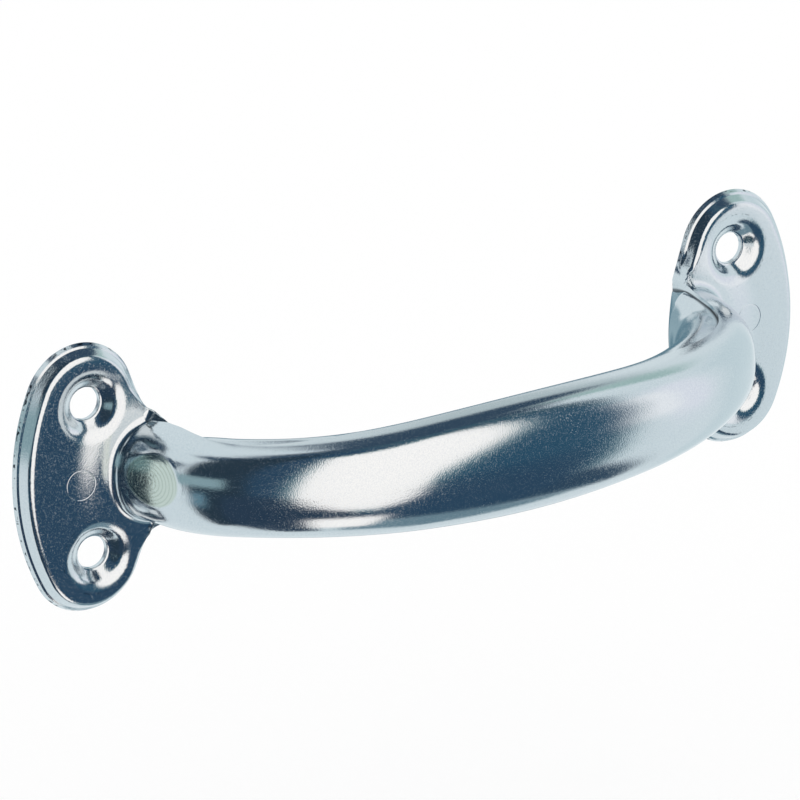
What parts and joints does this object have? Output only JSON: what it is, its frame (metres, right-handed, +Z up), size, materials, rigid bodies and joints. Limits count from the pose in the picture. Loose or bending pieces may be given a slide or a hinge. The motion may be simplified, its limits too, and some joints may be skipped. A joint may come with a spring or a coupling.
{
  "type": "grab handle",
  "caption": "Pressed steel bow grab handle in bright zinc, with two dished D-shaped feet and dimpled holes for countersunk wood screws.",
  "frame": {"origin": "centre of the four screw holes, on the mounting plane the feet lie on", "axes": "+X along the handle from the picture's left foot to its right foot, +Z up the feet across the handle, -Y out of the mounting surface toward the hand"},
  "size_m": [0.1538, 0.04, 0.0454],
  "materials": {
    "zinc": "bright blue-passivated zinc plate on pressed sheet steel, mirror-like with a fine grain"
  },
  "bodies": {
    "root": {"handle": "zinc"}
  },
  "joints": []
}
